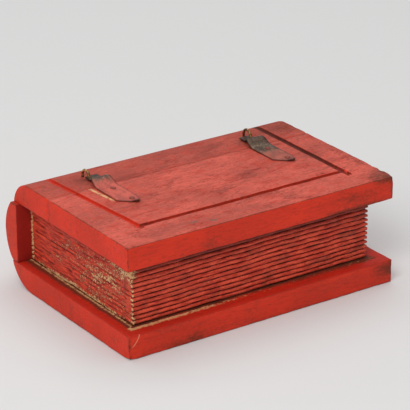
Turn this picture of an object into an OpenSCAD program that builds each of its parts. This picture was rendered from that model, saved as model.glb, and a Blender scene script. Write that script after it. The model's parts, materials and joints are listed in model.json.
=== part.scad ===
// Keepsake box in the form of a closed book that lies flat.
// X runs along the spine, the fore-edge faces -Y, the spine faces +Y, Z is up. Sizes in mm.

/* [Boards] */
// Length of every board along the spine
box_l = 190; // [175:1:230]
// Depth from the base's front edge to the outermost point of the spine
box_d = 138; // [130:1:165]
// Height from the underside to the top of the cover
box_h = 68; // [60:1:84]
// Thickness of the base board
base_t = 15; // [11:0.5:17]
// Thickness of the lid board and the rail
cover_t = 15; // [12:0.5:17]
// Thickness of the spine at its middle
spine_t = 14; // [11:0.5:15]
// How far the spine's round face bows out behind the boards
spine_bow = 7.1; // [5:0.1:9]
// Radius of the round along the back of the base
back_r = 24; // [20:0.5:25]
// Radius of the round along the back of the rail
rail_r = 18; // [17:0.5:25]
// How far the lid's front edge stands behind the base's
cover_back = 3.8; // [0:0.1:6]
// How far the cover is set along the spine from the base
cover_side = 2.3; // [0:0.1:4]
// Depth of the joint line from the base's front edge
joint_y = 90; // [84:1:94]
// Width of the joint between lid and rail
joint_gap = 0.6; // [0.4:0.1:1.2]
// Air between the page block and the closed lid
lid_gap = 0.2; // [0.1:0.05:0.5]

/* [Page block] */
// Set-back of the fore-edge pages from the base's front edge
fore_in = 11; // [8:0.5:14]
// Set-back of the tail pages from the base's left end
tail_in = 9.6; // [7:0.1:12]
// Set-back of the head pages from the base's right end
head_in = 10.7; // [7:0.1:12]
// Thickness of the page block's walls
wall_t = 9; // [6:0.5:11]
// Number of carved pages
page_n = 13; // [9:1:16]
// Depth of the grooves between pages
page_d = 1.3; // [0.6:0.1:1.8]
// Share of the page pitch that is the page's flat edge
page_flat = 0.42; // [0.3:0.02:0.6]

/* [Panel line] */
// Distance of the front line from the lid's front edge
line_front = 21.6; // [15:0.1:26]
// Distance of the left line from the cover's left end, at the front
line_left = 21.2; // [15:0.1:24]
// Slant of the left line, which was scored by eye
line_slant = 4.4; // [0:0.1:5]
// Distance of the right line from the cover's right end
line_right = 18.2; // [18:0.1:24]
// Width of the front and left lines
line_w = 2.8; // [2:0.2:4]
// Depth of the scored line
line_d = 1.8; // [1:0.1:2.5]
// Width of the right end's line, which is cut wider
line_w_right = 3.6; // [2:0.2:5]
// How far the right line overruns the front one
line_over = 5; // [0:0.5:12]

/* [Hinges] */
// Left eye from the rail's left end
left_eye_x = 35.5; // [34:0.5:44]
// Right eye from the rail's right end
right_eye_in = 36; // [34:0.5:44]
// How far the left strap's middle is off its eye
left_off = 3; // [-3:0.5:3]
// How far the right strap's middle is off its eye
right_off = -2.5; // [-3:0.5:3]
// Depth of the eyes from the base's front edge
eye_y = 105; // [103:0.5:107]
// Height of the eyes' centre above the rail
eye_up = 1.4; // [1.2:0.1:2.4]
// Radius of the eye to the middle of its wire
eye_r = 3.8; // [3.6:0.1:4.6]
// Radius of the wire
wire_r = 0.8; // [0.6:0.05:0.9]
// Width of a strap
strap_w = 14; // [11:0.5:17]
// Thickness of a strap
strap_t = 1.2; // [0.8:0.1:1.4]
// Depth of the straps' front tip
tip_y = 56; // [52:1:60]
// Height of the strap's hump over the joint, above the eye's centre
hump_h = 2.6; // [0.5:0.1:3]
// Radius of a nail's shank
nail_r = 0.8; // [0.7:0.05:0.9]
// Radius of a nail's head
head_r = 2; // [1.6:0.1:2]
// Height of a nail's head
head_t = 0.7; // [0.5:0.1:0.9]
// Length of a nail's shank in the wood
nail_l = 11; // [8:0.5:11]
// Length of the rail nails' shanks
rail_nail_l = 32; // [25:1:35]

/* [Hidden] */
$fn = 96;
wood = [0.78, 0.25, 0.2];
iron = [0.3, 0.26, 0.24];
bronze = [0.45, 0.33, 0.2];
fit = 0.1;
slack = 0.3;
cover_z = box_h - cover_t;
spine_in_y = box_d - spine_t;
spine_h = cover_z - base_t;
spine_r = (pow(spine_h / 2, 2) + pow(spine_bow, 2)) / (2 * spine_bow);
seam_y = box_d - spine_bow;
rail_round_y = seam_y - sqrt(pow(rail_r, 2) - pow(rail_r - cover_t, 2));
base_round_y = seam_y - sqrt(pow(back_r, 2) - pow(back_r - base_t, 2));
block_h = cover_z - lid_gap - base_t;
block_l = box_l - tail_in - head_in;
pitch = block_h / page_n;
eye_z = box_h + eye_up;
right_eye_x = box_l - right_eye_in;
strap_back_y = eye_y - eye_r + wire_r + slack + 1.8;
hole_r = wire_r + slack;
level_y = eye_y - eye_r - wire_r - slack - 1;
land_in = 4;
land_y = joint_y - land_in;
tip_l = 9;
taper_y = tip_y + tip_l;
tip_lift = 1.3;
tip_bend = 3.5;
tip_w = 5;
neck_w = 7;
neck_y = level_y - 1;
strap_flat_z = box_h;
strap_level_z = eye_z - strap_t / 2;
clinch_l = 6;
nail_out = 1.6;
left_nail_in = 10;
right_nail_in = 20;
rear_nail_in = 9;
rear_nail_off = 1;
front_nail_in = 3;
front_nail_off = 2;
lap = 2;
shank_r = 1.5 * wire_r;
steps = 20;

// Puts a piece into the part's frame: middle of the footprint, underside at zero
module place() {
    translate([-(box_l + cover_side) / 2, -box_d / 2, 0]) children();
}

// Same, for what belongs to the cover
module place_cover() {
    place() translate([cover_side, 0, 0]) children();
}

// A round bar along the boards
module bar(y, z, r) {
    translate([0, y, z]) rotate([0, 90, 0]) cylinder(r = r, h = box_l);
}

module base_board() {
    color(wood) place() union() {
        cube([box_l, base_round_y, base_t]);
        intersection() {
            bar(base_round_y, back_r, back_r);
            translate([0, base_round_y - lap, 0]) cube([box_l, back_r + lap, base_t]);
        }
    }
}

module spine() {
    color(wood) place() intersection() {
        bar(box_d - spine_r, base_t + spine_h / 2, spine_r);
        translate([0, spine_in_y, base_t])
            cube([box_l, spine_t + 1, spine_h]);
    }
}

// The scored line on three sides of the cover
module scored_line() {
    cut_z = box_h - line_d;
    tall = line_d + 1;
    front_y = cover_back + line_front;
    right_x = box_l - line_right - line_w_right;
    translate([line_left, front_y, cut_z]) rotate([0, 0, line_slant])
        cube([line_w, box_d, tall]);
    translate([right_x, front_y - line_over, cut_z])
        cube([line_w_right, box_d, tall]);
    translate([line_left, front_y, cut_z])
        cube([right_x + 1 - line_left, line_w, tall]);
}

// Hole, mortise and clearance of one eye in the rail
module eye_seat(x) {
    translate([x, eye_y, cover_z - 1])
        cylinder(r = shank_r + fit, h = cover_t + 2);
    translate([x - wire_r - fit, eye_y, eye_z]) rotate([0, 90, 0])
        cylinder(r = eye_r + wire_r + fit, h = 2 * (wire_r + fit));
}

module hinge_rail() {
    front_y = joint_y + joint_gap / 2;
    color(wood) place_cover() difference() {
        union() {
            translate([0, front_y, cover_z])
                cube([box_l, rail_round_y - front_y, cover_t]);
            intersection() {
                bar(rail_round_y, box_h - rail_r, rail_r);
                translate([0, rail_round_y - lap, cover_z])
                    cube([box_l, rail_r + lap, cover_t]);
            }
        }
        scored_line();
        eye_seat(left_eye_x);
        eye_seat(right_eye_x);
        for (p = rail_nail_at)
            translate([p[0], p[1], cover_z - 1])
                cylinder(r = nail_r + fit / 2, h = cover_t + 2);
        for (p = rail_nail_at)
            translate([p[0], p[1], box_h - head_t])
                cylinder(r = head_r + fit, h = head_t + 1);
    }
}

rail_nail_at = [[tail_in + wall_t / 2 - cover_side, joint_y + left_nail_in],
                [box_l - head_in - wall_t / 2 - cover_side + nail_out, joint_y + right_nail_in]];

module lid_board() {
    color(wood) place_cover() difference() {
        translate([0, cover_back, cover_z])
            cube([box_l, joint_y - joint_gap / 2 - cover_back, cover_t]);
        scored_line();
        for (x = [left_eye_x + left_off, right_eye_x + right_off])
            for (p = strap_nail_at)
                translate([x + p[0], p[1], box_h - nail_l - fit])
                    cylinder(r = nail_r + fit / 2, h = nail_l + 1);
    }
}

// Offsets of a strap's nails from its middle, and their depth
strap_nail_at = [[rear_nail_off, joint_y - rear_nail_in],
                 [front_nail_off, taper_y - front_nail_in]];

// Side outline of the carved pages: depth of the edge at each height
page_edge = [for (i = [0 : page_n - 1]) for (k = [0 : 3])
    [k == 0 || k == 3 ? page_d : 0,
     base_t + pitch * (i + (k == 0 ? 0.06 : k == 1 ? 0.5 - page_flat / 2
                            : k == 2 ? 0.5 + page_flat / 2 : 0.94))]];
page_side = concat([[page_d, base_t]], page_edge, [[page_d, base_t + block_h]]);
page_back = [for (i = [len(page_side) - 1 : -1 : 0]) page_side[i]];

// The whole page block with its carved edges, before it is parted into walls
module block() {
    front = [for (p = page_side) [fore_in + p[0], p[1]]];
    tail = [for (p = page_side) [tail_in + p[0], p[1]]];
    head = [for (p = page_back) [box_l - head_in - p[0], p[1]]];
    intersection() {
        rotate([90, 0, 90]) linear_extrude(height = box_l)
            polygon(concat(front, [[spine_in_y, base_t + block_h], [spine_in_y, base_t]]));
        translate([0, spine_in_y, 0]) rotate([90, 0, 0]) linear_extrude(height = spine_in_y)
            polygon(concat(tail, head));
    }
}

module fore_edge_wall() {
    color(wood) place() intersection() {
        block();
        cube([box_l, fore_in + wall_t, box_h]);
    }
}

// Holes for the rail nails in the end walls
module wall_nail_holes() {
    translate([cover_side, 0, 0]) for (p = rail_nail_at)
        translate([p[0], p[1], box_h - head_t - rail_nail_l - fit])
            cylinder(r = nail_r + fit / 2, h = rail_nail_l);
}

module tail_wall() {
    color(wood) place() difference() {
        intersection() {
            block();
            translate([0, fore_in + wall_t, 0])
                cube([tail_in + wall_t, box_d, box_h]);
        }
        wall_nail_holes();
    }
}

module head_wall() {
    color(wood) place() difference() {
        intersection() {
            block();
            translate([box_l - head_in - wall_t, fore_in + wall_t, 0])
                cube([wall_t + 1, box_d, box_h]);
        }
        wall_nail_holes();
    }
}

// A wire eye whose shank goes down through the rail and whose two ends are turned over
module eye(x) {
    color(bronze) place_cover() translate([x, eye_y, 0]) union() {
        translate([0, 0, eye_z]) rotate([0, 90, 0]) rotate_extrude()
            translate([eye_r, 0]) circle(r = wire_r);
        translate([0, 0, cover_z - wire_r])
            cylinder(r = shank_r, h = eye_z - eye_r - cover_z + wire_r);
        translate([0, clinch_l, cover_z - wire_r]) rotate([90, 0, 0])
            cylinder(r = wire_r, h = 2 * clinch_l);
    }
}

module left_eye() {
    eye(left_eye_x);
}

module right_eye() {
    eye(right_eye_x);
}

// Height of the strap's underside at a depth y
function ease(t) = (1 - cos(180 * t)) / 2;
hump_y = (level_y + land_y) / 2 + 1.5;
function strap_z(y) =
    y >= level_y ? strap_level_z
    : y >= hump_y ? strap_level_z + hump_h * ease((level_y - y) / (level_y - hump_y))
    : y >= land_y ? strap_flat_z + (strap_level_z + hump_h - strap_flat_z)
                    * ease((y - land_y) / (hump_y - land_y))
    : y >= tip_y + tip_bend ? strap_flat_z
    : strap_flat_z + tip_lift * ease((tip_y + tip_bend - y) / tip_bend);

strap_ys = concat([strap_back_y],
    [for (i = [0 : steps]) level_y + (land_y - level_y) * i / steps],
    [for (i = [0 : 5]) tip_y + tip_bend - tip_bend * i / 5]);
strap_n = len(strap_ys);

// A flat strap threaded on its eye, with a hump over the joint and a blunt point
module strap(x, off) {
    under = [for (y = strap_ys) [y, strap_z(y)]];
    over = [for (i = [strap_n - 1 : -1 : 0])
        [strap_ys[i], strap_z(strap_ys[i]) + strap_t]];
    color(iron) place_cover() translate([x, 0, 0]) difference() {
        intersection() {
            translate([-strap_w, 0, 0]) rotate([90, 0, 90])
                linear_extrude(height = 2 * strap_w) polygon(concat(under, over));
            linear_extrude(height = 2 * box_h) polygon([
                [-neck_w / 2 - off, strap_back_y + 1], [-neck_w / 2 - off, strap_back_y],
                [-strap_w / 2, neck_y], [-strap_w / 2, taper_y],
                [-tip_w / 2, tip_y], [tip_w / 2, tip_y],
                [strap_w / 2, taper_y], [strap_w / 2, neck_y],
                [neck_w / 2 - off, strap_back_y], [neck_w / 2 - off, strap_back_y + 1]]);
        }
        translate([-off, eye_y - eye_r, box_h]) cylinder(r = hole_r, h = box_h);
        for (p = strap_nail_at)
            translate([p[0], p[1], box_h - 1])
                cylinder(r = nail_r + fit / 2, h = box_h);
    }
}

module left_strap() {
    strap(left_eye_x + left_off, left_off);
}

module right_strap() {
    strap(right_eye_x + right_off, right_off);
}

// A nail with a flat head; the head's underside is at zero
module nail(length) {
    translate([0, 0, -length]) cylinder(r = nail_r, h = length + head_t / 2);
    cylinder(r = head_r, h = head_t);
}

module strap_nails(x) {
    color(iron) place_cover() for (p = strap_nail_at)
        translate([x + p[0], p[1], box_h + strap_t]) nail(nail_l);
}

module left_strap_nails() {
    strap_nails(left_eye_x + left_off);
}

module right_strap_nails() {
    strap_nails(right_eye_x + right_off);
}

// Nails that hold the rail down on the end walls, heads flush with its top
module rail_nails() {
    color(iron) place_cover() for (p = rail_nail_at)
        translate([p[0], p[1], box_h - head_t]) nail(rail_nail_l);
}

base_board();
spine();
hinge_rail();
lid_board();
fore_edge_wall();
tail_wall();
head_wall();
left_eye();
right_eye();
left_strap();
right_strap();
left_strap_nails();
right_strap_nails();
rail_nails();
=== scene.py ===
"""Keepsake box in the form of a closed book, of wood under worn red paint.

The boards, the carved page block, the straps and the nails are modelled in millimetres,
each inside the space of its solid in the frame, and scaled to metres at the end.
"""
import json
import math

import bmesh
import bpy
from mathutils import Matrix, Vector, noise


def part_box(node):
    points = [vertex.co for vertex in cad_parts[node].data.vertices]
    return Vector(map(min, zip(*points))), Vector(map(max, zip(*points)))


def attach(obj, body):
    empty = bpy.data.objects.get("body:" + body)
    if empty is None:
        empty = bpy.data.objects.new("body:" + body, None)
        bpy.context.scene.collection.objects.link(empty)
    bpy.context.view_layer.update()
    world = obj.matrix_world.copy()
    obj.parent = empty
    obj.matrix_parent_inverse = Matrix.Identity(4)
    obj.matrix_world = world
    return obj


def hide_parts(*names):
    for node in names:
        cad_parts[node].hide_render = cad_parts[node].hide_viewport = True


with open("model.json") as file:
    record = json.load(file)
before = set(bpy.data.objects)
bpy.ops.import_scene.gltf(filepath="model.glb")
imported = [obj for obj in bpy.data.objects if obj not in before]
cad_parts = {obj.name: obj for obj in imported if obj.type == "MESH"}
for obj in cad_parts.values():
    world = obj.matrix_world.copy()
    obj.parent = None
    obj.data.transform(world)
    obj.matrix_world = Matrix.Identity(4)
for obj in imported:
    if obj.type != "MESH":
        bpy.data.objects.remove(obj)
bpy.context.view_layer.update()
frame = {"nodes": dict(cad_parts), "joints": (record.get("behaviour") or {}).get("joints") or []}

MM = 0.001
X, Y, Z = Vector((1, 0, 0)), Vector((0, 1, 0)), Vector((0, 0, 1))


# Sizes, read from the frame

def box_mm(node):
    """Lowest and highest corner of a solid, in millimetres."""
    low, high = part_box(node)
    return Vector(low) / MM, Vector(high) / MM


BASE = box_mm("base_board")
SPINE = box_mm("spine")
RAIL = box_mm("hinge_rail")
LID = box_mm("lid_board")
FORE = box_mm("fore_edge_wall")
TAIL = box_mm("tail_wall")
HEAD = box_mm("head_wall")
STRAPS = {side: box_mm(side + "_strap") for side in ("left", "right")}
NAILS = {side: box_mm(side + "_strap_nails") for side in ("left", "right")}
RAIL_NAILS = box_mm("rail_nails")
HINGE = Vector(frame["joints"][0]["pos_m"]) / MM

# Boards: the round backs, the spine's bow, and how far each side of the joint closes up
BASE_R = 24.0
RAIL_R = 18.0
SPINE_BOW = 7.1
SPINE_R = ((SPINE[1].z - SPINE[0].z) ** 2 / 4 + SPINE_BOW ** 2) / (2 * SPINE_BOW)
CLOSE_UP = 0.2

# Faces that the boards are cut into, the rim left whole at their ends, and a round's steps
FACE = 1.6
FACE_BASE = 1.8
FACE_UP = 2.2
FACE_SPINE = 2.5
RIM = 1.0
ARC_STEPS = 14

# Carved pages
PAGES = 13
PAGE_DEPTH = 1.3

# Scored line, from the cover's edges, and how dark its dirt and painted shade are at the left, in
# front and right
LINE_FRONT = 21.6
LINE_LEFT = 21.2
LINE_SLANT = math.radians(4.4)
LINE_RIGHT = 18.2
LINE_W = 3.8
LINE_W_RIGHT = 4.2
LINE_DEPTH = 2.0
LINE_OVER = 5.0
LINE_SHOULDER = 0.4
LINE_REACH = 3.2
DIRT_AND_SHADE_LEFT = 0.34
DIRT_AND_SHADE_FRONT = 0.6
DIRT_AND_SHADE_RIGHT = 0.75

# Straps, eyes and nail heads
STRAP_T = 1.2
STRAP_THIN = 0.75
LEVEL_AHEAD = 2.1
LAND_AHEAD = 4.3
HUMP_BACK = 1.5
NECK_IN = 2.8
NECK_LONG = 7.0
NECK_AHEAD = 3.1
POINT_LONG = 9.0
POINT_CUT_LEFT = 9.2
POINT_CUT_RIGHT = 3.2
TIP_LIFT = 1.3
TIP_BEND = 3.5
EYE_R = 3.8
HEAD_R = 2.0

# Marks: on the cover's top as X and Y, and the scratch on the base's fore face as X and Z
STRIP = ((-65.4, 21.5), (-62.9, -2.5))
KNOCKS = ((-42.1, -54.9), (-31.0, -59.0))
SCRATCH_R = 16.8
SCRATCH = (BASE[0].x - 8.4, BASE[1].z + 6.1)
SCRATCH_DROP = 7.5


# Mesh tools

def wobble(p, size, seed, octaves=3):
    """Smooth noise from about -1 to 1 that changes over `size` millimetres."""
    q = Vector((p[0] / size + 17.3 * seed, p[1] / size - 5.1 * seed, p[2] / size + 2.7 * seed))
    return noise.fractal(q, 1.0, 2.0, octaves)


def steps(low, high, size):
    """Even places between two ends, both left out."""
    n = max(1, round((high - low) / size))
    return [low + (high - low) * i / n for i in range(1, n)]


def smooth(edge0, edge1, value):
    """0 at edge0, 1 at edge1 and smooth between."""
    t = min(1.0, max(0.0, (value - edge0) / (edge1 - edge0)))
    return t * t * (3 - 2 * t)


def cut(bm, axis, places):
    """Cuts the mesh square to an axis at each place, so that it can be shaped there."""
    for place in places:
        bmesh.ops.bisect_plane(bm, geom=bm.verts[:] + bm.edges[:] + bm.faces[:],
                               dist=1e-4, plane_co=axis * place, plane_no=axis)


def cut_evenly(bm, axis, bounds, size, rim=RIM):
    """Cuts the mesh about every `size` millimetres along an axis, all but a rim at both ends."""
    low, high = [corner.dot(axis) for corner in bounds]
    cut(bm, axis, steps(low + rim, high - rim, size))


def block_mesh(low, high):
    """A box between two corners."""
    bm = bmesh.new()
    middle = (low + high) / 2
    bmesh.ops.create_cube(bm, size=1, matrix=Matrix.Translation(middle)
                          @ Matrix.Diagonal((*(high - low), 1)))
    return bm


def profile_mesh(outline, start, end):
    """A face in the Y-Z plane drawn along X from start to end."""
    bm = bmesh.new()
    corners = [bm.verts.new((start, y, z)) for y, z in outline]
    face = bm.faces.new(corners)
    drawn = bmesh.ops.extrude_face_region(bm, geom=[face])
    moved = [v for v in drawn["geom"] if isinstance(v, bmesh.types.BMVert)]
    bmesh.ops.translate(bm, verts=moved, vec=X * (end - start))
    bmesh.ops.recalc_face_normals(bm, faces=bm.faces[:])
    return bm


def ease_edges(bm, width, joint_y=None, segments=3, sharp=0.6):
    """Rounds the edges that turn by more than `sharp` radians, all but those at a joint."""
    edges = [e for e in bm.edges if e.is_manifold and e.calc_face_angle() > sharp
             and not (joint_y and all(abs(v.co.y - joint_y) < 0.01 for v in e.verts))]
    bmesh.ops.bevel(bm, geom=edges, offset=width, segments=segments, profile=0.5,
                    affect="EDGES", material=-1)


def edge_nearness(p, low, high, reach):
    """1 on an edge of the box, 0 where two of its faces are `reach` or more away."""
    gaps = sorted(min(p[i] - low[i], high[i] - p[i]) for i in range(3))
    return 1 - smooth(0.0, reach, max(0.0, gaps[1]))


def weather(bm, bounds, seed, edge_loss=0.3, skin=0.08, reach=1.8, joint_y=None, chips=()):
    """Wears the edges down unevenly, less along a joint, and breaks the chips out of them.

    A chip is given as (middle, radius, depth). How near each point is to an edge is kept in
    the layer `finish`.
    """
    low, high = bounds
    finish = bm.verts.layers.float_color["finish"]
    bm.normal_update()
    for v in bm.verts:
        near = edge_nearness(v.co, low, high, reach)
        if joint_y:
            near *= smooth(0.0, 3.0, abs(v.co.y - joint_y))
        bite = max(0.0, wobble(v.co, 7.0, seed) + 0.25)
        loss = skin * (0.5 + 0.5 * wobble(v.co, 14.0, seed + 3)) + edge_loss * near * bite
        chipped = 0.0
        for at, radius, depth in chips:
            away = (v.co - Vector(at)).length / radius
            if away < 1:
                broken = (1 - away * away) * (0.8 + 0.4 * wobble(v.co, 1.6, seed + 5))
                chipped = max(chipped, depth * broken)
        v[finish][2] = near
        v.co -= v.normal * (max(0.0, loss) + chipped)


def soil(bm, spots):
    """Lays grime round each spot, given as (middle, reach along X, Y and Z, strength)."""
    finish = bm.verts.layers.float_color["finish"]
    for v in bm.verts:
        for at, reach, strength in spots:
            away = math.sqrt(sum(((v.co[i] - at[i]) / reach[i]) ** 2 for i in range(3)))
            v[finish][3] = max(v[finish][3], strength * (1 - smooth(0.0, 1.0, away)))


def start_finish(bm):
    """Adds the layer `finish`: how far a point faces up, its hollow, its edge, its grime. On some
    pieces these hold painted shade as well.
    """
    finish = bm.verts.layers.float_color.new("finish")
    bm.normal_update()
    for v in bm.verts:
        v[finish] = (max(0.0, v.normal.z), 0.0, 0.0, 0.0)
    return finish


def piece(name, bm, material, body, node):
    """Turns the finished mesh into an object that stands for a node and rides on a body."""
    bmesh.ops.scale(bm, vec=(MM, MM, MM), verts=bm.verts[:])
    bmesh.ops.recalc_face_normals(bm, faces=bm.faces[:])
    mesh = bpy.data.meshes.new(name)
    bm.to_mesh(mesh)
    bm.free()
    mesh.shade_smooth()
    mesh.materials.append(material)
    obj = bpy.data.objects.new(name, mesh)
    bpy.context.scene.collection.objects.link(obj)
    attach(obj, body)
    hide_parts(node)


# Shader tools

class Field:
    """A value that varies over a surface. Python's operators add its Math nodes."""

    def __init__(self, paint, socket):
        self.paint, self.socket = paint, socket

    def math(self, operation, *others):
        """This value and the others through a Math node."""
        return self.paint.node("Math", {"operation": operation}, dict(enumerate((self, *others))))

    def __add__(self, other):
        return self.math("ADD", other)

    def __radd__(self, other):
        return self.math("ADD", other)

    def __sub__(self, other):
        return self.math("SUBTRACT", other)

    def __rsub__(self, other):
        return self.paint.node("Math", {"operation": "SUBTRACT"}, {0: other, 1: self})

    def __mul__(self, other):
        return self.math("MULTIPLY", other)

    def __rmul__(self, other):
        return self.math("MULTIPLY", other)

    def between(self, low, high):
        """0 below low, 1 above high, smooth between."""
        return self.paint.node("MapRange", {"interpolation_type": "SMOOTHSTEP"},
                               {"Value": self, "From Min": low, "From Max": high})

    def size(self):
        """The value without its sign."""
        return self.math("ABSOLUTE")


class Paint:
    """One material and its nodes."""

    def __init__(self, name):
        self.material = bpy.data.materials.new(name)
        self.material.use_nodes = True
        self.tree = self.material.node_tree
        self.shader = self.tree.nodes["Principled BSDF"]

    def feed(self, socket, value):
        """Links a varying value to a socket, or sets a constant on it."""
        if isinstance(value, Field):
            self.tree.links.new(value.socket, socket)
        else:
            socket.default_value = value

    def node(self, kind, settings, values, out=0):
        """Adds a node: its settings first, then what its sockets take."""
        made = self.tree.nodes.new("ShaderNode" + kind)
        for key, value in settings.items():
            setattr(made, key, value)
        for key, value in values.items():
            self.feed(made.inputs[key], value)
        return Field(self, made.outputs[out])

    def place(self):
        """Object coordinates in millimetres."""
        metres = self.node("TexCoord", {}, {}, out="Object")
        return self.node("VectorMath", {"operation": "SCALE"}, {0: metres, "Scale": 1 / MM})

    def noise(self, place, size, stretch=(1, 1, 1), detail=4.0, rough=0.55, shift=0.0, bend=0.0):
        """Noise from 0 to 1 whose grains are `size` millimetres, stretched along the axes."""
        scale = tuple(1 / (size * s) for s in stretch)
        at = self.node("Mapping", {}, {"Vector": place, "Scale": scale,
                                       "Location": (shift, shift * 0.7, -shift)})
        return self.node("TexNoise", {}, {"Vector": at, "Scale": 1.0, "Detail": detail,
                                          "Roughness": rough, "Distortion": bend})

    def mix(self, share, a, b):
        """Colour a where share is 0 and b where it is 1."""
        a, b = [v if isinstance(v, Field) else (*v, 1) for v in (a, b)]
        return self.node("Mix", {"data_type": "RGBA"}, {0: share, 6: a, 7: b}, out=2)

    def layer(self, name, out="Fac"):
        """A layer of the mesh."""
        return self.node("Attribute", {"attribute_name": name}, {}, out)

    def finish(self):
        """What the layer `finish` holds: faces up, hollow, edge and grime."""
        colour, grime = self.layer("finish", "Color"), self.layer("finish", "Alpha")
        return [self.node("SeparateColor", {}, {0: colour}, out=i) for i in range(3)] + [grime]

    def axis(self, place, index):
        """X, Y or Z of a place."""
        return self.node("SeparateXYZ", {}, {0: place}, out=index)

    def stroke(self, place, start, end, width):
        """1 on a straight stroke between two points in plan, 0 beside it."""
        run = Vector(end) - Vector(start)
        way = run.normalized()
        x, y = self.axis(place, 0) - start[0], self.axis(place, 1) - start[1]
        across = (y * way.x - x * way.y).size()
        along = x * way.x + y * way.y
        ends = along.between(-1.0, 1.0) * (1 - along.between(run.length - 1.5, run.length + 1.0))
        return (1 - across.between(0.35 * width, 0.65 * width)) * ends

    def put(self, **values):
        """Feeds the shader's own sockets."""
        for name, value in values.items():
            self.feed(self.shader.inputs[name.replace("_", " ")], value)

    def bump(self, height, depth_mm, strength):
        """The shader's normal over a relief `depth_mm` high."""
        return self.node("Bump", {}, {"Height": height, "Distance": depth_mm * MM,
                                      "Strength": strength})


def rgb(r, g, b):
    """Linear colour from the usual 0 to 255 values."""
    return tuple(c / 12.92 if c <= 0.04045 else ((c + 0.055) / 1.055) ** 2.4
                 for c in (r / 255, g / 255, b / 255))


# Finishes

VIVID = rgb(222, 50, 20)
DEEP = rgb(200, 36, 14)
DARK_RED = rgb(132, 12, 6)
# Top colours: faded paint lightened by a painted sheen
FADED_WITH_SHEEN = rgb(198, 84, 68)
FADED_RAIL_WITH_SHEEN = rgb(180, 74, 58)
BROWN = rgb(92, 42, 26)
STAIN = rgb(126, 44, 30)
SOOT = rgb(40, 20, 12)
BARE_WOOD = rgb(216, 172, 120)


def shade(colour, share):
    """The colour, darker or brighter."""
    return tuple(min(1.0, c * share) for c in colour)


def painted_wood(name, side, top, shift=0.0, grime_and_shade_colour=BROWN, dust=0.0, marks=None):
    """Old red paint: bright on the sides, dusty and with a painted sheen where it faces up, dark
    along the edges.

    marks draws the piece's own marks: it takes the paint, the place, the specks and the colour.
    """
    paint = Paint(name)
    place = paint.place()
    up, hollow, edge, grime = paint.finish()
    grain = paint.noise(place, 1.0, (9, 1, 1.3), 5, 0.62, shift, 0.5)
    dashes = paint.noise(place, 0.9, (3.6, 1, 1.2), 3, 0.55, shift + 21, 0.8)
    clouds = paint.noise(place, 26, (1.6, 1, 1), 3, 0.5, shift + 4)
    specks = paint.noise(place, 1.5, (1.5, 1, 1), 4, 0.7, shift + 9)
    blots = paint.noise(place, 7, (2.0, 1, 1), 5, 0.68, shift + 13)
    smears = paint.noise(place, 19, (2.4, 1, 1), 5, 0.68, shift + 31, 0.6)
    top_face = up.between(0.35, 0.85) * (1 - hollow.between(0.02, 0.2))
    bristle = paint.noise(place, 0.8, (2.2, 1, 1.2), 3, 0.75, shift + 27, 0.3)

    # Bright paint on the sides, and on top faded paint lightened by a painted sheen
    red = paint.mix(clouds.between(0.35, 0.65), side, shade(side, 0.84))
    red = paint.mix(grain.between(0.45, 0.72) * 0.5, red, shade(side, 0.55))
    red = paint.mix(specks.between(0.6, 0.72) * 0.25, red, shade(top, 1.1))
    dusty_and_sheen = paint.mix(clouds.between(0.34, 0.66), shade(top, 1.18), shade(top, 0.84))
    dusty_and_sheen = paint.mix(grain.between(0.4, 0.62) * 0.5, dusty_and_sheen, shade(top, 0.58))
    dusty_and_sheen = paint.mix(specks.between(0.54, 0.66) * 0.6, dusty_and_sheen, shade(top, 1.45))
    dusty_and_sheen = paint.mix((1 - bristle.between(0.32, 0.48)) * 0.4, dusty_and_sheen, shade(side, 0.5))
    dusty_and_sheen = paint.mix(blots.between(0.5, 0.62) * 0.45, dusty_and_sheen, shade(side, 0.62))
    colour = paint.mix(top_face, red, dusty_and_sheen)

    # Pits, stains and soot
    pits = dashes.between(0.57, 0.68) * (0.3 + 0.3 * top_face)
    colour = paint.mix(pits, colour, BROWN)
    stain = (smears + 0.5 * (specks - 0.5)).between(0.54, 0.72) * (0.45 + 0.2 * top_face)
    colour = paint.mix(stain, colour, STAIN)
    darkening = (blots + 0.4 * (specks - 0.5)).between(0.64, 0.76) * (0.3 + 0.35 * top_face)
    colour = paint.mix(darkening, colour, SOOT)

    # Worn edges, dirt and painted shade in the hollows, and caked grime, which on the spine's
    # inner face is painted shade
    line = (edge + 0.7 * (specks - 0.5) + 0.5 * (blots - 0.5)).between(0.7, 0.95)
    colour = paint.mix(line * 0.7, colour, BROWN)
    # Dirt and painted shade in the hollows: the scored line and the gap at the pages' foot
    hollow_dirt_and_shade = (hollow + 0.6 * (specks - 0.5) + 0.4 * (blots - 0.5)).between(0.1, 1.0)
    colour = paint.mix(hollow_dirt_and_shade * 0.92, colour, shade(BROWN, 0.5))
    caked_grime_and_shade = (grime + 0.7 * (blots - 0.5) + 0.7 * (specks - 0.5)).between(0.18, 0.8)
    colour = paint.mix(caked_grime_and_shade * 0.85, colour, grime_and_shade_colour)
    if dust:
        laid = paint.layer("dust")
        powder = (0.3 * laid + 0.8 * specks + 0.3 * bristle).between(0.74, 0.9)
        colour = paint.mix(powder * dust, colour, BARE_WOOD)
        # Deeper red where the cover overhangs the base's top: painted shade
        shade_under_cover = paint.layer("shade_under_cover")
        colour = paint.mix(shade_under_cover * specks.between(0.3, 0.5) * 0.75, colour, shade(DEEP, 0.8))
    if marks:
        colour = marks(paint, place, specks, colour)
    height = 0.9 * grain + 0.7 * specks + 0.9 * blots - 0.8 * pits
    paint.put(Base_Color=colour, Roughness=(0.45 + 0.3 * specks + 0.15 * caked_grime_and_shade),
              Specular_IOR_Level=0.3, Normal=paint.bump(height, 0.35, 0.7))
    return paint.material


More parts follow.
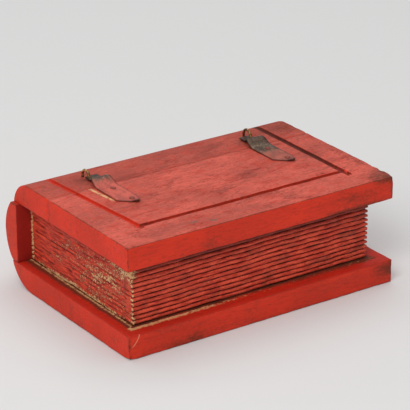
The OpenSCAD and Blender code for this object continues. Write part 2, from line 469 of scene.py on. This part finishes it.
def lid_marks(paint, place, specks, colour):
    """The bare strip beside the left strap and two knocks near the front edge."""
    on_top = paint.axis(place, 2).between(LID[1].z - 1.5, LID[1].z - 1.0)
    strip = paint.stroke(place, STRIP[0], STRIP[1], 2.0) * specks.between(0.38, 0.52) * on_top
    colour = paint.mix(strip * 0.9, colour, BARE_WOOD)
    for x, y in KNOCKS:
        away = ((paint.axis(place, 0) - x) * 0.5).math("POWER", 2.0) \
            + (paint.axis(place, 1) - y).math("POWER", 2.0)
        knock = (1 - (away + 2 * (specks - 0.5)).between(0.6, 2.6)) * 0.65 * on_top
        colour = paint.mix(knock, colour, rgb(104, 82, 72))
    return colour


def base_marks(paint, place, specks, colour):
    """The pale curved scratch near the front corner."""
    x, y, z = [paint.axis(place, i) for i in range(3)]
    across = (x - SCRATCH[0]).math("POWER", 2.0) + (z - SCRATCH[1]).math("POWER", 2.0)
    ring = (across.math("SQRT") - SCRATCH_R).size()
    front = 1 - y.between(BASE[0].y + 0.6, BASE[0].y + 1.2)
    foot = BASE[1].z - SCRATCH_DROP
    line = (1 - ring.between(0.05, 0.4)) * front * z.between(foot, foot + 1.5)
    line = line * x.between(BASE[0].x, BASE[0].x + 1.0) * specks.between(0.3, 0.42)
    return paint.mix(line * 0.85, colour, rgb(226, 156, 122))


def page_paint(name, shift=0.0, torn=0.0):
    """Thin red paint over the carved pages, with dark dirt and painted shade in the cuts, painted
    shade under the cover and at the foot, and painted glints.
    """
    paint = Paint(name)
    place = paint.place()
    _, hollow, edge, grime = paint.finish()
    streaks = paint.noise(place, 1.1, (7, 7, 0.9), 5, 0.68, shift, 0.6)
    specks = paint.noise(place, 1.3, (1.6, 1.6, 1), 4, 0.75, shift + 6)
    blots = paint.noise(place, 6, (2.4, 2.4, 1), 4, 0.62, shift + 11)
    grit = paint.noise(place, 1.0, (1.3, 1.3, 1), 3, 0.75, shift + 17)
    red = paint.mix(streaks.between(0.38, 0.62), rgb(226, 84 - 14 * torn, 56 - 14 * torn),
                    rgb(178 - 22 * torn, 46 - 12 * torn, 26 - 6 * torn))
    red = paint.mix(blots.between(0.5, 0.68) * 0.5, red, rgb(126, 52, 34))
    # Pale specks: painted glints of the varnish
    red = paint.mix(specks.between(0.58, 0.7) * 0.45, red, rgb(228, 128, 98))
    red = paint.mix((1 - specks.between(0.3, 0.42)) * 0.5, red, rgb(96, 26, 14))
    # Painted shade with dirt in the cuts between the pages
    cut_shade_and_dirt = (hollow + 0.5 * (specks - 0.5) + 0.3 * (streaks - 0.5)).between(0.35, 0.8)
    colour = paint.mix(cut_shade_and_dirt * (0.95 - 0.15 * torn), red, rgb(50, 12, 6))
    # Painted shade with soot under the cover and at the foot, and darker towards the head end,
    # from the layer's edge value
    darkening = (edge + 0.9 * (specks - 0.5) + 0.6 * (blots - 0.5)).between(0.25, 0.95)
    colour = paint.mix(darkening * (0.62 - 0.35 * torn), colour, rgb(64, 26, 14))
    soiled = (grime + 0.8 * (specks - 0.5)).between(0.25, 0.7) * 0.4
    colour = paint.mix(soiled, colour, rgb(112, 52, 28))
    flakes = (0.62 * grit + 0.26 * blots + 0.25 * grime + 0.035 * torn).between(0.585, 0.63)
    colour = paint.mix(flakes * 0.92, colour, rgb(232, 186, 132))
    height = 0.9 * streaks + 0.7 * specks + 0.6 * flakes
    paint.put(Base_Color=colour, Roughness=(0.42 + 0.35 * specks),
              Specular_IOR_Level=0.4, Normal=paint.bump(height, 0.45 + 0.3 * torn, 0.9))
    return paint.material


def strap_finish(name, painted, bare_from, bare_to, tip_y, shift=0.0):
    """Thin iron: red paint, a dark tip, and bare metal from bare_from back to bare_to."""
    paint = Paint(name)
    place = paint.place()
    _, _, edge, _ = paint.finish()
    depth = paint.axis(place, 1)
    specks = paint.noise(place, 1.0, (1, 1.6, 1), 4, 0.65, shift)
    blots = paint.noise(place, 4.5, (1, 1.4, 1), 3, 0.6, shift + 5)
    bare = (depth + 7 * (blots - 0.5) + 4 * (specks - 0.5)).between(bare_from, bare_to)
    behind = (depth + 2 * (specks - 0.5)).between(bare_to + 3.0, bare_to + 8.0)
    metal = paint.mix(specks.between(0.35, 0.65), rgb(64, 46, 32), rgb(126, 104, 84))
    rust = paint.mix(blots.between(0.45, 0.65) * 0.8, metal, rgb(70, 38, 24))
    red = paint.mix(blots.between(0.4, 0.6), painted, shade(painted, 0.66))
    red = paint.mix(specks.between(0.55, 0.7) * 0.6, red, BROWN)
    colour = paint.mix(bare, red, rust)
    tip = 1 - (depth + 3 * (specks - 0.5)).between(tip_y + 1.0, tip_y + 6.0)
    colour = paint.mix(tip * 0.7, colour, SOOT)
    rim = (edge + 0.6 * (specks - 0.5)).between(0.6, 0.9)
    colour = paint.mix(rim * 0.6, colour, shade(BROWN, 0.7))
    colour = paint.mix(behind * 0.6, colour, rgb(58, 36, 20))
    paint.put(Base_Color=colour, Metallic=(0.45 * bare),
              Roughness=(0.5 - 0.2 * bare + 0.2 * specks),
              Normal=paint.bump(0.6 * specks + blots, 0.2, 0.5))
    return paint.material


def wire_finish():
    """Dark bronze wire, brighter where it is rubbed."""
    paint = Paint("eye wire")
    place = paint.place()
    grime = paint.noise(place, 1.6, (1, 1, 1), 4, 0.6)
    rubbed = paint.noise(place, 3.4, (1, 1, 1), 2, 0.5, 5)
    colour = paint.mix(grime.between(0.4, 0.6), rgb(146, 106, 60), rgb(56, 34, 18))
    colour = paint.mix(rubbed.between(0.56, 0.68), colour, rgb(206, 160, 104))
    paint.put(Base_Color=colour, Metallic=0.75, Roughness=(0.32 + 0.3 * grime),
              Normal=paint.bump(grime, 0.12, 0.5))
    return paint.material


def nail_finish(name, colour_a, colour_b, shift=0.0):
    """Iron nail head under paint or rust."""
    paint = Paint(name)
    place = paint.place()
    specks = paint.noise(place, 0.8, (1, 1, 1), 4, 0.65, shift)
    colour = paint.mix(specks.between(0.35, 0.65), colour_a, colour_b)
    paint.put(Base_Color=colour, Metallic=0.2, Roughness=(0.5 + 0.2 * specks),
              Normal=paint.bump(specks, 0.15, 0.5))
    return paint.material


# Boards

def line_places(y):
    """Left edges of the left and right lines at a place y, and the front line's front edge."""
    front = LID[0].y + LINE_FRONT
    left = LID[0].x + LINE_LEFT - (y - front) * math.tan(LINE_SLANT)
    return left, LID[1].x - LINE_RIGHT - LINE_W_RIGHT, front


def line_depth(x, y):
    """Depth share of the scored line at a point of the cover's top: 0 beside it, 1 in it."""
    left, right, front = line_places(y)
    share = 0.0
    if y > front - 0.6:
        share = max(share, groove(x - left, LINE_W))
    if y > front - LINE_OVER + 2 * wobble((x, y, 0), 3, 7):
        share = max(share, groove(x - right, LINE_W_RIGHT))
    if left - 0.5 < x < right + LINE_W_RIGHT + 0.5:
        share = max(share, groove(y - front, LINE_W))
    return share


def line_drift(x, y):
    """How far the hand that scored the lines strayed at a point, along X and Y."""
    left, right, front = line_places(y)
    stray = 0.3 * wobble((x, y, 0), 16, 41) + 0.16 * wobble((x, y, 0), 3, 43)
    beside = min(abs(x - left - LINE_W / 2), abs(x - right - LINE_W_RIGHT / 2))
    before = abs(y - front - LINE_W / 2)
    return stray * (1 - smooth(2.5, 4.5, beside)), stray * (1 - smooth(2.5, 4.5, before))


def groove(across, width):
    """1 on the groove's floor, 0 outside its shoulders."""
    return smooth(0.0, LINE_SHOULDER, across) * (1 - smooth(width - LINE_SHOULDER, width, across))


def line_cuts(width, at):
    """Where to cut a board so that a scored line can sink. `sides` are shares of its width."""
    sides = (-0.12, 0, 0.025, 0.07, 0.12, 0.3)
    return [at + width * t for t in (*sides, 0.5, *(1 - t for t in reversed(sides)))]


def line_dirt_and_shade(x, y):
    """How dark the scored line's dirt and painted shade are at a point: least at the left, most
    at the right's back.
    """
    _, right, front = line_places(y)
    if x > right - 0.4:
        return DIRT_AND_SHADE_RIGHT + (1 - DIRT_AND_SHADE_RIGHT) * smooth(front, front + 40, y)
    in_front_line = abs(y - front - LINE_W / 2) < LINE_W / 2 + 0.1
    return DIRT_AND_SHADE_FRONT if in_front_line else DIRT_AND_SHADE_LEFT


def sink_line(bm, finish):
    """Sinks the scored line into the cover's top and keeps its dirt and painted shade in the
    layer `finish`.
    """
    joint_y, straight_by_joint = LID[1].y, 3
    for v in bm.verts:
        if v.co.z < LID[1].z - LINE_REACH:
            continue
        x, y = v.co.x, v.co.y
        share = line_depth(x, y)
        if share > 0.01:
            floor = LID[1].z - LINE_DEPTH * (0.85 + 0.25 * wobble(v.co, 7, 47))
            v.co.z = min(v.co.z, v.co.z + (floor - v.co.z) * share)
            # Dirt and painted shade in the scored line
            v[finish][1] = line_dirt_and_shade(x, y)
        across, back = line_drift(x, y)
        v.co.x += across
        v.co.y += back * (abs(y - joint_y) > straight_by_joint)


def cover_cuts(bm, bounds):
    """Cuts a cover board into small faces, finer along the scored lines."""
    low, high = bounds
    front = LID[0].y + LINE_FRONT
    left, slant_reach = LID[0].x + LINE_LEFT, 14
    cut_evenly(bm, X, bounds, FACE)
    cut(bm, X, line_cuts(LINE_W_RIGHT, LID[1].x - LINE_RIGHT - LINE_W_RIGHT))
    cut_evenly(bm, Y, bounds, FACE)
    if low.y < front < high.y:
        cut(bm, Y, line_cuts(LINE_W, front))
    slanted = (X * math.cos(LINE_SLANT) + Y * math.sin(LINE_SLANT)).normalized()
    for place in line_cuts(LINE_W, 0.0):
        near = [f for f in bm.faces if abs(f.calc_center_median().x - left) < slant_reach]
        edges = list(dict.fromkeys(e for f in near for e in f.edges))
        verts = list(dict.fromkeys(v for f in near for v in f.verts))
        bmesh.ops.bisect_plane(bm, geom=verts + edges + near, dist=1e-4,
                               plane_co=Vector((left + place, front, 0)), plane_no=slanted)
    cut_evenly(bm, Z, bounds, FACE_UP)


def lid_board():
    """The part of the cover that opens."""
    bounds = LID[0], LID[1] + Y * CLOSE_UP
    low, high = bounds
    bm = block_mesh(low, high)
    ease_edges(bm, 0.6, high.y)
    cover_cuts(bm, bounds)
    finish = start_finish(bm)
    chips = [((high.x, low.y, high.z), 4.0, 1.0), ((low.x, low.y, high.z), 1.6, 0.4),
             ((high.x, low.y + 12, high.z), 2.5, 0.7), ((high.x, low.y + 20, high.z), 1.8, 0.5)]
    weather(bm, bounds, 1, joint_y=high.y, chips=chips)
    soil(bm, [((high.x, low.y, high.z), (30, 34, 9), 0.8),
              ((high.x - 4, (low.y + high.y) / 2, high.z), (12, 60, 5), 0.35),
              ((low.x, low.y, high.z), (2.6, 2.6, 6), 0.8),
              ((STRAPS["left"][0].x + 5, 8, high.z), (13, 36, 4), 0.3),
              ((STRAPS["right"][0].x + 9, 14, high.z), (18, 30, 4), 0.45),
              ((20, high.y, high.z), (50, 8, 4), 0.3),
              ((high.x - 30, low.y, low.z), (52, 2, 5), 0.75),
              ((high.x - 26, low.y, low.z + 7), (60, 2, 12), 0.42),
              ((high.x, low.y, low.z + 7), (2.5, 2.5, 10), 0.8)])
    sink_line(bm, finish)
    piece("lid_board_worn", bm, painted_wood("cover paint", VIVID, FADED_WITH_SHEEN, marks=lid_marks),
          "lid", "lid_board")


def back_arc(centre, radius, start, end):
    """The round along the back of a board, in Y-Z."""
    angles = [start + (end - start) * i / ARC_STEPS for i in range(ARC_STEPS + 1)]
    return [(centre[0] + radius * math.cos(a), centre[1] + radius * math.sin(a))
            for a in angles]


def hinge_rail():
    """The fixed part of the cover, round along its back."""
    bounds = RAIL[0] - Y * CLOSE_UP, RAIL[1]
    low, high = bounds
    centre_z = high.z - RAIL_R
    rise = low.z - centre_z
    centre = (high.y - math.sqrt(RAIL_R ** 2 - rise ** 2), centre_z)
    bm = profile_mesh([(low.y, high.z), (low.y, low.z)]
                      + back_arc(centre, RAIL_R, math.asin(rise / RAIL_R), math.pi / 2),
                      low.x, high.x)
    ease_edges(bm, 0.5, low.y)
    cover_cuts(bm, bounds)
    finish = start_finish(bm)
    weather(bm, bounds, 2, joint_y=low.y, chips=[((low.x, low.y, high.z), 1.6, 0.5),
                                                 ((high.x, low.y, high.z), 2.0, 0.7)])
    soil(bm, [((high.x - 10, (low.y + high.y) / 2, high.z), (60, 30, 9), 0.5),
              ((STRAPS["left"][0].x + 2, HINGE.y - 4, high.z), (18, 16, 5), 0.55),
              ((STRAPS["right"][0].x + 6, HINGE.y - 4, high.z), (20, 16, 5), 0.6)])
    sink_line(bm, finish)
    piece("hinge_rail_worn", bm, painted_wood("rail paint", VIVID, FADED_RAIL_WITH_SHEEN, shift=3),
          "box", "hinge_rail")


def foot_of_pages(bm, finish):
    """Dirt, dust and painted shade on the base's top round the pages, by the distance from them:
    painted shade in the gap at the pages' foot and under the overhanging cover further out.

    Each is stronger or wider on some sides: dirt at the tail's back and the fore's right end,
    dust at the fore's left end and along the tail.
    """
    dust, cover_shade_layer = [bm.verts.layers.float.new(name) for name in ("dust", "shade_under_cover")]
    for v in bm.verts:
        if v.co.z > BASE[1].z - 0.5:
            fore, tail = FORE[0].y - v.co.y, TAIL[0].x - v.co.x
            beside = max(tail, v.co.x - HEAD[1].x, fore) + 0.5 * wobble(v.co, 7, 81)
            back = smooth(-20, 50, v.co.y) * (tail > 0)
            right = smooth(-10, 40, v.co.x) * (fore > 0)
            near = 1 - smooth(1.5, 4.5 + 2 * (tail > 0) + 3 * back + 3 * right, beside)
            # Painted shade in the gap at the pages' foot, kept as the hollow value
            v[finish][1] = 0.9 * (1 - smooth(0.4, 1.4, beside)) * (0.3 if tail > 0 else 1)
            v[finish][3] = near * (0.6 + 0.3 * (tail > 0) + 0.1 * back + 0.1 * right)
            # Painted shade under the overhanging cover, further out from the pages
            v[cover_shade_layer] = smooth(3.0 + 2.5 * right, 5.5 + 2.5 * right, beside)
            if fore > 0:
                along = 1.15 - 0.65 * smooth(-62, 10, v.co.x)
                v[dust] = along * smooth(0.6, 1.8, beside) * (1 - smooth(3.6, 6.2, beside))
            else:
                v[dust] = (1.05 if tail > 0 else 0.3) * (1 - smooth(0.6, 2.6, beside))


def base_board():
    """The lower cover, round along its back."""
    low, high = BASE
    drop = high.z - BASE_R
    centre = (high.y - math.sqrt(BASE_R ** 2 - drop ** 2), BASE_R)
    bm = profile_mesh([(low.y, low.z), (low.y, high.z)]
                      + back_arc(centre, BASE_R, math.asin(drop / BASE_R), -math.pi / 2),
                      low.x, high.x)
    ease_edges(bm, 0.6)
    cut_evenly(bm, X, BASE, FACE)
    cut_evenly(bm, Y, BASE, FACE_BASE)
    cut_evenly(bm, Z, BASE, FACE_UP)
    from_pages = (0.3, 1.0, 1.9, 2.8, 3.8)
    cut(bm, Y, [FORE[0].y - t for t in from_pages])
    cut(bm, X, [TAIL[0].x - t for t in from_pages])
    foot_of_pages(bm, start_finish(bm))
    weather(bm, BASE, 3, chips=[((low.x, low.y, high.z), 2.0, 0.5),
                                ((low.x, low.y, low.z), 5.0, 1.4)])
    soil(bm, [((high.x, low.y, high.z - 5), (30, 3, 12), 0.7),
              ((low.x + 40, low.y, low.z + 2), (46, 2, 9), 0.5),
              ((high.x - 4, 0, high.z), (12, 66, 4), 0.6),
              ((low.x, low.y, high.z - 4), (2.4, 2.4, 10), 0.7)])
    piece("base_board_worn", bm, painted_wood("base paint", shade(VIVID, 0.9), DEEP, 7.0,
                                              rgb(84, 40, 20), 0.8, base_marks),
          "box", "base_board")


def spine():
    """The board along the back, bowed outwards."""
    low, high = SPINE
    centre = (high.y - SPINE_R, (low.z + high.z) / 2)
    turn = math.asin((high.z - low.z) / 2 / SPINE_R)
    bm = profile_mesh([(low.y, high.z), (low.y, low.z)] + back_arc(centre, SPINE_R, -turn, turn),
                      low.x, high.x)
    ease_edges(bm, 0.4)
    cut_evenly(bm, X, SPINE, FACE_SPINE)
    cut_evenly(bm, Z, SPINE, FACE_SPINE)
    cut(bm, Y, [low.y + 0.8, low.y + 2.0])
    finish = start_finish(bm)
    # Painted shade: the spine's inner face by the pages is darkened as grime in dark red
    for v in bm.verts:
        v[finish][3] = 1 - smooth(0.1, 1.2, v.co.y - low.y)
    weather(bm, SPINE, 4, edge_loss=0.4)
    piece("spine_worn", bm, painted_wood("spine paint", shade(VIVID, 0.92), DEEP, 12.0, DARK_RED),
          "box", "spine")


# Page block

def page_depth(along, z, torn):
    """Depth of the carved pages at a height, and how far the point lies in a cut.

    Each cut and each page takes its noise at its own place, so that no two are alike.
    """
    pitch = (FORE[1].z - FORE[0].z) / PAGES
    level = (z - FORE[0].z) / pitch + 0.18 * wobble((along, 0, z * 0.4), 24, 51)
    page = math.floor(level)
    off_middle = abs(2 * (level - page) - 1)
    cut_id = round(level)
    width = 0.5 + 0.16 * wobble((along, cut_id * 9.0, 0), 7, 53)
    cut_share = smooth(1.0 - width, 0.92, off_middle)
    deep = PAGE_DEPTH * (1.45 + 0.35 * wobble((along, cut_id * 7.0, 3), 9, 57))
    if torn:
        fade = smooth(-0.2, 0.25, wobble((along, cut_id * 13.0, 5), 17, 67) + 0.05 * torn)
        cut_share *= 0.1 + 0.9 * fade
        deep *= 0.75
    uneven = 0.2 * (0.5 + 0.5 * wobble((along, page * 11.0, 8), 12, 59))
    ragged = (0.14 + 0.22 * torn) * (0.5 + 0.5 * wobble((along * 0.5, z * 1.4, 0), 1.8, 61))
    return deep * cut_share + uneven + ragged, cut_share


def carve(bm, outer_faces, flaked):
    """Carves the pages into the outer faces, each given as (axis, place, sign, torn).

    The layer's edge value holds painted shade with soot under the cover and at the foot, and a
    darkening towards the head end.
    """
    finish = start_finish(bm)
    for v in bm.verts:
        start = v.co.copy()
        cut_share = 0.0
        for axis, place, sign, torn in outer_faces:
            if abs(start[axis] - place) < 0.01:
                depth, share = page_depth(start[1 - axis] + 40 * axis, start.z, torn)
                v.co[axis] -= sign * depth
                cut_share = max(cut_share, share)
        v[finish][1] = cut_share
        # Painted shade with soot under the cover and at the foot, and darker towards the head end
        under = FORE[1].z - start.z + 2.0 * wobble(start, 18, 83)
        v[finish][2] = max(1 - smooth(3.0, 9.0, under), 1 - smooth(0.8, 2.0, start.z - FORE[0].z),
                           0.45 * smooth(-30, 80, start.x))
    soil(bm, flaked)


def wall(name, bounds, outer_faces, long_axis, paint, flaked):
    """One wall of the block, long in X or Y, with the pages on its outer faces."""
    bm = block_mesh(*bounds)
    cut_evenly(bm, Z, bounds, 0.4, rim=0)
    cut_evenly(bm, (X, Y)[long_axis], bounds, 1.4, rim=0)
    cut_evenly(bm, (Y, X)[long_axis], bounds, 3.0, rim=0)
    carve(bm, outer_faces, flaked)
    piece(name + "_carved", bm, paint, "box", name)


def page_block():
    """The three walls. The paint has flaked off near the tail's corners and edges."""
    left, right, front = TAIL[0].x, HEAD[1].x, FORE[0].y
    foot, top, back = FORE[0].z, FORE[1].z, TAIL[1].y
    middle = (foot + top) / 2
    flaked = [((left, front + 4, top), (8, 36, 24), 1.05),
              ((left, front + 16, top), (3, 60, 12), 0.9),
              ((left, front + 30, middle), (3, 90, 34), 0.42),
              ((left, front, foot), (5, 18, 12), 0.6),
              ((left, front, middle), (2.2, 2.2, 60), 0.9),
              ((left, middle - 34, foot), (4, 90, 4.5), 1.0),
              ((left, back, middle), (5, 3.4, 60), 1.3)]
    paint = page_paint("page paint")
    end_paint = page_paint("page end paint", 3.0, 1.0)
    tail_face, head_face = (0, left, -1, 1.0), (0, right, 1, 0.0)
    wall("fore_edge_wall", FORE, [tail_face, head_face, (1, front, -1, 0.0)], 0, paint, flaked)
    wall("tail_wall", TAIL, [tail_face], 1, end_paint, flaked)
    wall("head_wall", HEAD, [head_face], 1, end_paint, [])


# Hinges

def strap_height(side, y):
    """Height of the strap's underside: level on the eye, a hump over the joint, then flat.

    The tip lifts off the lid.
    """
    level_y, land_y = HINGE.y - EYE_R - LEVEL_AHEAD, RAIL[0].y - LAND_AHEAD
    hump_y = (level_y + land_y) / 2 + HUMP_BACK
    tip_y = STRAPS[side][0].y
    level_z = HINGE.z - STRAP_T / 2
    top = STRAPS[side][1].z - STRAP_T
    if y >= level_y:
        return level_z
    if y >= hump_y:
        return level_z + (top - level_z) * smooth(level_y, hump_y, y)
    if y >= land_y:
        return LID[1].z + (top - LID[1].z) * smooth(land_y, hump_y, y)
    return LID[1].z + TIP_LIFT * (1 - smooth(tip_y, tip_y + TIP_BEND, y))


def strap(side, paint):
    """A bent strip with a narrow neck at the eye and a point at the front."""
    low, high = STRAPS[side]
    middle = (low.x + high.x) / 2
    taper_y, neck_y = low.y + POINT_LONG, HINGE.y - EYE_R - NECK_AHEAD
    bm = block_mesh(Vector((low.x, low.y, 0)), Vector((high.x, high.y, STRAP_T)))
    cut_evenly(bm, Y, (low, high), 1.0, rim=0)
    cut_evenly(bm, X, (low, high), 1.5, rim=0)
    finish = start_finish(bm)
    for v in bm.verts:
        share = (v.co.x - middle) / (high.x - middle)
        ahead = max(0.0, (taper_y - v.co.y) / (taper_y - low.y))
        neck = NECK_IN * smooth(neck_y - NECK_LONG, neck_y, v.co.y)
        left = low.x - middle + POINT_CUT_LEFT * ahead + neck
        right = high.x - middle - POINT_CUT_RIGHT * ahead ** 2 - neck
        worn = 0.3 * share * (0.5 + 0.5 * wobble((share * 9, v.co.y, 0), 5, 71))
        v[finish][2] = smooth(0.8, 1.0, abs(share))
        v.co.x = middle + left + (right - left) * (share + 1) / 2 - worn
        v.co.z = v.co.z * STRAP_THIN + strap_height(side, v.co.y)
    piece(side + "_strap_bent", bm, paint, "lid", side + "_strap")


def nail_head(bm, at, radius, height, tilt, seed):
    """A hammered head: a low dome with an uneven rim."""
    made = bmesh.ops.create_uvsphere(bm, u_segments=20, v_segments=10, radius=1.0)["verts"]
    for v in made:
        angle = math.atan2(v.co.y, v.co.x)
        v.co.x *= radius * (1 + 0.07 * math.sin(3 * angle + seed))
        v.co.y *= radius * (1 + 0.06 * math.cos(2 * angle + seed))
        v.co.z = max(v.co.z, -0.2) * height
    turn = Matrix.Rotation(tilt, 4, "X")
    bmesh.ops.transform(bm, matrix=Matrix.Translation(at) @ turn, verts=made)


def strap_nails(side, paint):
    """The heads of a strap's two nails."""
    low, high = NAILS[side]
    bm = bmesh.new()
    places = [(low.x + HEAD_R, high.y - HEAD_R), (high.x - HEAD_R, low.y + HEAD_R)]
    for i, (x, y) in enumerate(places):
        nail_head(bm, Vector((x, y, high.z - 0.75)), radius=HEAD_R * 0.85, height=0.4,
                  tilt=0.05, seed=i + 1)
    piece(side + "_strap_nail_heads", bm, paint, "lid", side + "_strap_nails")


def rail_nails(paint):
    """The heads of the two nails that hold the rail."""
    low, high = RAIL_NAILS
    bm = bmesh.new()
    places = [(low.x + HEAD_R, low.y + HEAD_R), (high.x - HEAD_R, high.y - HEAD_R)]
    for i, (x, y) in enumerate(places):
        nail_head(bm, Vector((x, y, high.z - 0.55)), radius=HEAD_R * 0.9, height=0.45,
                  tilt=0.0, seed=i + 4)
    piece("rail_nail_heads", bm, paint, "box", "rail_nails")


# Studio

AZIMUTH = math.radians(-34.54)
ELEVATION = math.radians(23.01)
DISTANCE = 1447.9
AIM = Vector((30.0, 38.65, 28.5))
LENS = 203.0


def camera():
    """Sees the box as the photo does."""
    back = Vector((math.sin(AZIMUTH) * math.cos(ELEVATION),
                   -math.cos(AZIMUTH) * math.cos(ELEVATION), math.sin(ELEVATION)))
    lens = bpy.data.cameras.new("view")
    lens.lens, lens.sensor_width, lens.clip_end = LENS, 36, 20
    obj = bpy.data.objects.new("view", lens)
    obj.location = (AIM + back * DISTANCE) * MM
    obj.rotation_euler = (-back).to_track_quat("-Z", "Y").to_euler()
    bpy.context.scene.collection.objects.link(obj)
    bpy.context.scene.camera = obj


def lamp(name, at, size, watts, colour=(1, 1, 1)):
    """A square lamp at a place in metres, turned to the box."""
    light = bpy.data.lights.new(name, "AREA")
    light.shape, light.size, light.energy, light.color = "SQUARE", size, watts, colour
    obj = bpy.data.objects.new(name, light)
    obj.location = at
    obj.rotation_euler = (-Vector(at)).to_track_quat("-Z", "Y").to_euler()
    bpy.context.scene.collection.objects.link(obj)


def room():
    """Even light from all sides."""
    world = bpy.data.worlds.new("studio")
    bpy.context.scene.world = world
    world.use_nodes = True
    ground = world.node_tree.nodes["Background"]
    ground.inputs["Color"].default_value = (0.87, 0.87, 0.87, 1)
    ground.inputs["Strength"].default_value = 0.54


def plain_floor():
    """A pale grey floor, wide enough to fill the view."""
    bm = bmesh.new()
    bmesh.ops.create_grid(bm, x_segments=1, y_segments=1, size=6)
    mesh = bpy.data.meshes.new("floor")
    bm.to_mesh(mesh)
    bm.free()
    floor = bpy.data.objects.new("floor", mesh)
    bpy.context.scene.collection.objects.link(floor)
    cloth = Paint("floor")
    cloth.put(Base_Color=(*rgb(212, 212, 212), 1), Roughness=0.9)
    mesh.materials.append(cloth.material)


def studio():
    """Camera, light and floor."""
    bpy.context.scene.view_settings.view_transform = "Standard"
    camera()
    lamp("window", (-1.3, -0.9, 1.5), 1.1, 24, (1.0, 0.985, 0.96))
    lamp("ceiling", (0.3, 0.5, 2.0), 1.8, 18)
    room()
    plain_floor()


# The box

lid_board()
hinge_rail()
base_board()
spine()
page_block()
strap("left", strap_finish("left strap", FADED_WITH_SHEEN, 18.0, 26.0, STRAPS["left"][0].y))
strap("right", strap_finish("right strap", rgb(168, 80, 62), 2.0, 14.0,
                            STRAPS["right"][0].y, 4.0))
strap_nails("left", nail_finish("left nail paint", rgb(158, 70, 56), rgb(96, 44, 32)))
strap_nails("right", nail_finish("right nail paint", rgb(160, 66, 52), BROWN, 3.0))
rail_nails(nail_finish("rail nail paint", rgb(150, 60, 52), BROWN, 6.0))
wire = wire_finish()
for eye in ("left_eye", "right_eye"):
    node = frame["nodes"][eye]
    node.data.materials.clear()
    node.data.materials.append(wire)
studio()
